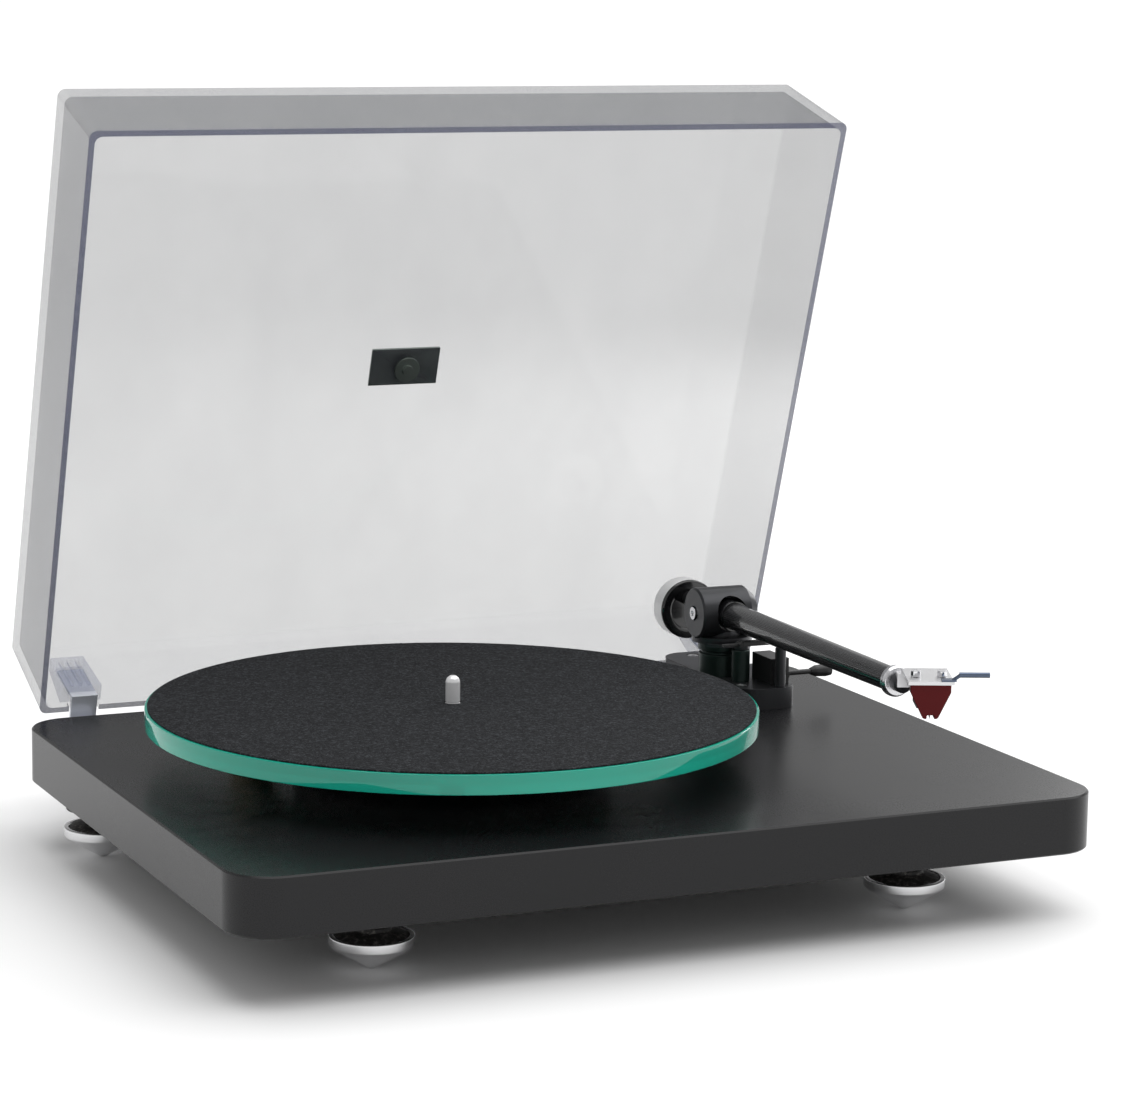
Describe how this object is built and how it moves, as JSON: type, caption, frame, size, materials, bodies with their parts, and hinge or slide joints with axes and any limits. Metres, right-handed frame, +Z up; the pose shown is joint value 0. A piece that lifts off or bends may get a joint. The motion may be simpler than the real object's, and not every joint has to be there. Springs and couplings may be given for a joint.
{
  "type": "turntable",
  "caption": "Belt-drive record player: rounded slab plinth on cone feet, glass platter with felt mat, gimballed tonearm with lift and rest, motor drive and hinged clear lid",
  "frame": {"origin": "On the floor under the centre of the bounding box, lid open", "axes": "X to the right seen from the front, Y from the front to the rear, Z up"},
  "size_m": [0.438, 0.4086, 0.384],
  "materials": {
    "plinth": "satin black paint on fibreboard",
    "foot_inserts": "plain",
    "foot_spacers": "matt black",
    "bearing_housing": "turned",
    "bearing_bush": "sintered",
    "thrust_ball": "polished",
    "spindle": "polished",
    "sub_platter": "moulded black",
    "glass_platter": "clear green-edged",
    "felt_mat": "charcoal felt",
    "drive_belt": "ground",
    "motor_body": "plated",
    "motor_damper": "matt black",
    "motor_shaft": "ground",
    "motor_pulley": "turned",
    "control_board": "green laminate",
    "bottom_cover": "black powder coat",
    "cover_screws": "plated",
    "power_socket": "moulded",
    "signal_sockets": "gold plated",
    "ground_post": "plated",
    "switch_housing": "moulded",
    "switch_rocker": "moulded",
    "arm_base": "black anodised",
    "arm_base_screws": "plated",
    "arm_pillar": "black anodised",
    "arm_yoke": "gloss black",
    "yoke_bearing_screws": "polished",
    "arm_hub": "gloss black",
    "arm_tube": "lacquered carbon fibre",
    "head_collar": "satin",
    "headshell": "satin",
    "finger_lift": "satin",
    "cartridge_screws": "plated",
    "cartridge_body": "moulded black",
    "stylus_unit": "moulded deep red",
    "cantilever": "drawn",
    "weight_stub": "black",
    "counterweight": "turned",
    "weight_dial": "gloss black",
    "lift_cylinder": "black anodised",
    "lift_rail": "black anodised",
    "lift_housing": "moulded",
    "lift_lever": "black",
    "rest_post": "black anodised",
    "rest_cradle": "moulded",
    "rest_clip": "moulded",
    "lid_shell": "clear smoky acrylic",
    "lid_sockets": "clear acrylic",
    "lid_badge": "dark plate",
    "hinge_brackets": "black",
    "hinge_leaves": "satin",
    "foot": "satin turned",
    "foot_pad": "mottled dark"
  },
  "bodies": {
    "chassis": {"plinth": "plinth", "foot_inserts": "foot_inserts", "foot_spacers": "foot_spacers", "bearing_housing": "bearing_housing", "bearing_bush": "bearing_bush", "thrust_ball": "thrust_ball", "drive_belt": "drive_belt", "motor_body": "motor_body", "motor_damper": "motor_damper", "control_board": "control_board", "bottom_cover": "bottom_cover", "cover_screws": "cover_screws", "power_socket": "power_socket", "signal_sockets": "signal_sockets", "ground_post": "ground_post", "switch_housing": "switch_housing", "arm_base": "arm_base", "arm_base_screws": "arm_base_screws", "arm_pillar": "arm_pillar", "lift_cylinder": "lift_cylinder", "lift_housing": "lift_housing", "rest_post": "rest_post", "rest_cradle": "rest_cradle", "hinge_brackets": "hinge_brackets"},
    "foot_fl": {"front_left_foot": "foot", "front_left_pad": "foot_pad"},
    "foot_fr": {"front_right_foot": "foot", "front_right_pad": "foot_pad"},
    "foot_rl": {"rear_left_foot": "foot", "rear_left_pad": "foot_pad"},
    "foot_rr": {"rear_right_foot": "foot", "rear_right_pad": "foot_pad"},
    "platter": {"spindle": "spindle", "sub_platter": "sub_platter", "glass_platter": "glass_platter", "felt_mat": "felt_mat"},
    "pulley": {"motor_shaft": "motor_shaft", "motor_pulley": "motor_pulley"},
    "yoke": {"arm_yoke": "arm_yoke", "yoke_bearing_screws": "yoke_bearing_screws"},
    "arm": {"arm_hub": "arm_hub", "arm_tube": "arm_tube", "head_collar": "head_collar", "headshell": "headshell", "finger_lift": "finger_lift", "cartridge_screws": "cartridge_screws", "cartridge_body": "cartridge_body", "stylus_unit": "stylus_unit", "cantilever": "cantilever", "weight_stub": "weight_stub"},
    "weight": {"counterweight": "counterweight", "weight_dial": "weight_dial"},
    "rail": {"lift_rail": "lift_rail"},
    "lever": {"lift_lever": "lift_lever"},
    "clip": {"rest_clip": "rest_clip"},
    "rocker": {"switch_rocker": "switch_rocker"},
    "lid": {"lid_shell": "lid_shell", "lid_sockets": "lid_sockets", "lid_badge": "lid_badge", "hinge_leaves": "hinge_leaves"}
  },
  "joints": [
    {"name": "foot_fl_level", "type": "slide", "parent": "chassis", "child": "foot_fl", "axis": [0, 0, 1], "range_m": [0, 0.004]},
    {"name": "foot_fr_level", "type": "slide", "parent": "chassis", "child": "foot_fr", "axis": [0, 0, 1], "range_m": [0, 0.004]},
    {"name": "foot_rl_level", "type": "slide", "parent": "chassis", "child": "foot_rl", "axis": [0, 0, 1], "range_m": [0, 0.004]},
    {"name": "foot_rr_level", "type": "slide", "parent": "chassis", "child": "foot_rr", "axis": [0, 0, 1], "range_m": [0, 0.004]},
    {"name": "platter_spin", "type": "hinge", "parent": "chassis", "child": "platter", "pos_m": [-0.0485, -0.03229, 0.061], "axis": [0, 0, 1], "continuous": true},
    {"name": "pulley_spin", "type": "hinge", "parent": "chassis", "child": "pulley", "pos_m": [-0.12198, 0.05224, 0.061], "axis": [0, 0, 1], "continuous": true},
    {"name": "arm_swing", "type": "hinge", "parent": "chassis", "child": "yoke", "pos_m": [0.148, 0.06571, 0.1061], "axis": [0, 0, -1], "range_deg": [-2, 48]},
    {"name": "arm_tilt", "type": "hinge", "parent": "yoke", "child": "arm", "pos_m": [0.148, 0.06571, 0.1061], "axis": [-0.9995, 0.0332, 0], "range_deg": [-1, 8.5]},
    {"name": "weight_slide", "type": "slide", "parent": "arm", "child": "weight", "axis": [0.0332, 0.9994, -0.0105], "range_m": [-0.004, 0.0015]},
    {"name": "lever_lift", "type": "hinge", "parent": "chassis", "child": "lever", "pos_m": [0.168, 0.03371, 0.077], "axis": [0, -1, 0], "range_deg": [0, 50]},
    {"name": "rail_lift", "type": "slide", "parent": "chassis", "child": "rail", "axis": [0, 0, 1], "range_m": [0, 0.006]},
    {"name": "clip_swing", "type": "hinge", "parent": "chassis", "child": "clip", "pos_m": [0.13739, 0.02321, 0.0968], "axis": [0, 1, 0], "range_deg": [0, 90]},
    {"name": "switch_rock", "type": "hinge", "parent": "chassis", "child": "rocker", "pos_m": [-0.186, -0.18229, 0.034], "axis": [0, -1, 0], "range_deg": [0, 16]},
    {"name": "lid_hinge", "type": "hinge", "parent": "chassis", "child": "lid", "pos_m": [0, 0.13841, 0.0515], "axis": [-1, 0, 0], "range_deg": [-72, 0]}
  ],
  "couplings": [
    {"joint": "pulley_spin", "follows": "platter_spin", "ratio": 7.5},
    {"joint": "rail_lift", "follows": "lever_lift", "m_per_rad": 0.006875}
  ]
}
